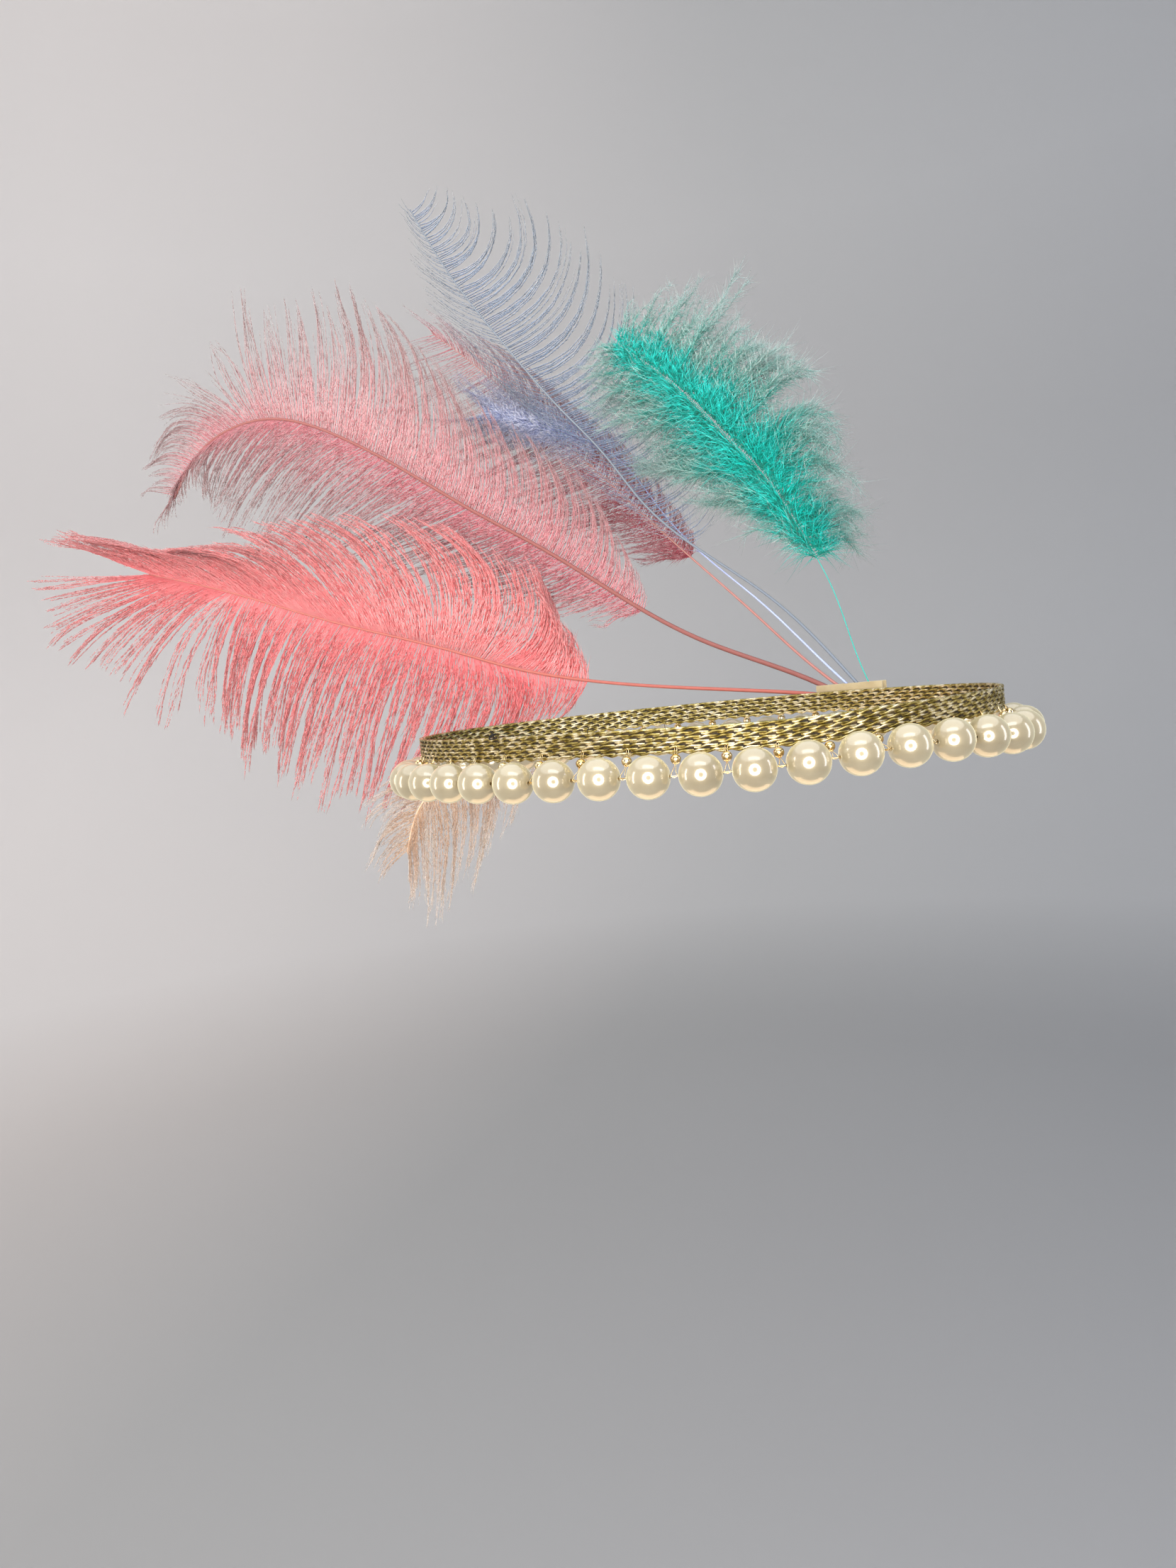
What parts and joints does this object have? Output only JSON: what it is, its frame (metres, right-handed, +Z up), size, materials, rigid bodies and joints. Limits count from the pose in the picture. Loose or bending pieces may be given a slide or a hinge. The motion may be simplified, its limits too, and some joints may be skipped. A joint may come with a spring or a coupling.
{
  "type": "flapper feather headband",
  "caption": "Gold braid headband with a hanging row of imitation pearls, small gold beads in the gaps, and dyed plumes that fan back from one side.",
  "frame": {"origin": "centre of the head opening, at the middle height of the braid band where it runs highest", "axes": "+X to the wearer's front, +Y to the wearer's left, +Z up"},
  "size_m": [0.4805, 0.198, 0.3146],
  "materials": {
    "gold_braid": "flat knitted braid of gold metal yarn",
    "pearl_lacquer": "ivory pearl lacquer on plastic",
    "gold_beads": "polished gold plate",
    "binding_felt": "plain felt",
    "plume_coral": "dyed feather",
    "plume_rose": "dyed feather",
    "plume_blue": "dyed feather",
    "plume_rose_back": "dyed feather",
    "plume_lavender": "dyed feather",
    "plume_teal": "dyed feather",
    "plume_peach": "dyed feather"
  },
  "bodies": {
    "root": {"band": "gold_braid", "pearl_01": "pearl_lacquer", "pearl_02": "pearl_lacquer", "pearl_03": "pearl_lacquer", "pearl_04": "pearl_lacquer", "pearl_05": "pearl_lacquer", "pearl_06": "pearl_lacquer", "pearl_07": "pearl_lacquer", "pearl_08": "pearl_lacquer", "pearl_09": "pearl_lacquer", "pearl_10": "pearl_lacquer", "pearl_11": "pearl_lacquer", "pearl_12": "pearl_lacquer", "pearl_13": "pearl_lacquer", "pearl_14": "pearl_lacquer", "pearl_15": "pearl_lacquer", "pearl_16": "pearl_lacquer", "pearl_17": "pearl_lacquer", "pearl_18": "pearl_lacquer", "pearl_19": "pearl_lacquer", "pearl_20": "pearl_lacquer", "pearl_21": "pearl_lacquer", "pearl_22": "pearl_lacquer", "pearl_23": "pearl_lacquer", "pearl_24": "pearl_lacquer", "pearl_25": "pearl_lacquer", "pearl_26": "pearl_lacquer", "pearl_27": "pearl_lacquer", "pearl_28": "pearl_lacquer", "pearl_29": "pearl_lacquer", "pearl_30": "pearl_lacquer", "pearl_31": "pearl_lacquer", "pearl_32": "pearl_lacquer", "pearl_33": "pearl_lacquer", "pearl_34": "pearl_lacquer", "pearl_35": "pearl_lacquer", "pearl_36": "pearl_lacquer", "pearl_37": "pearl_lacquer", "pearl_38": "pearl_lacquer", "pearl_39": "pearl_lacquer", "pearl_40": "pearl_lacquer", "bead_thread": "gold_beads", "quill_binding": "binding_felt", "plume_coral": "plume_coral", "plume_rose": "plume_rose", "plume_blue": "plume_blue", "plume_rose_back": "plume_rose_back", "plume_lavender": "plume_lavender", "plume_teal": "plume_teal", "plume_peach": "plume_peach"}
  },
  "joints": []
}
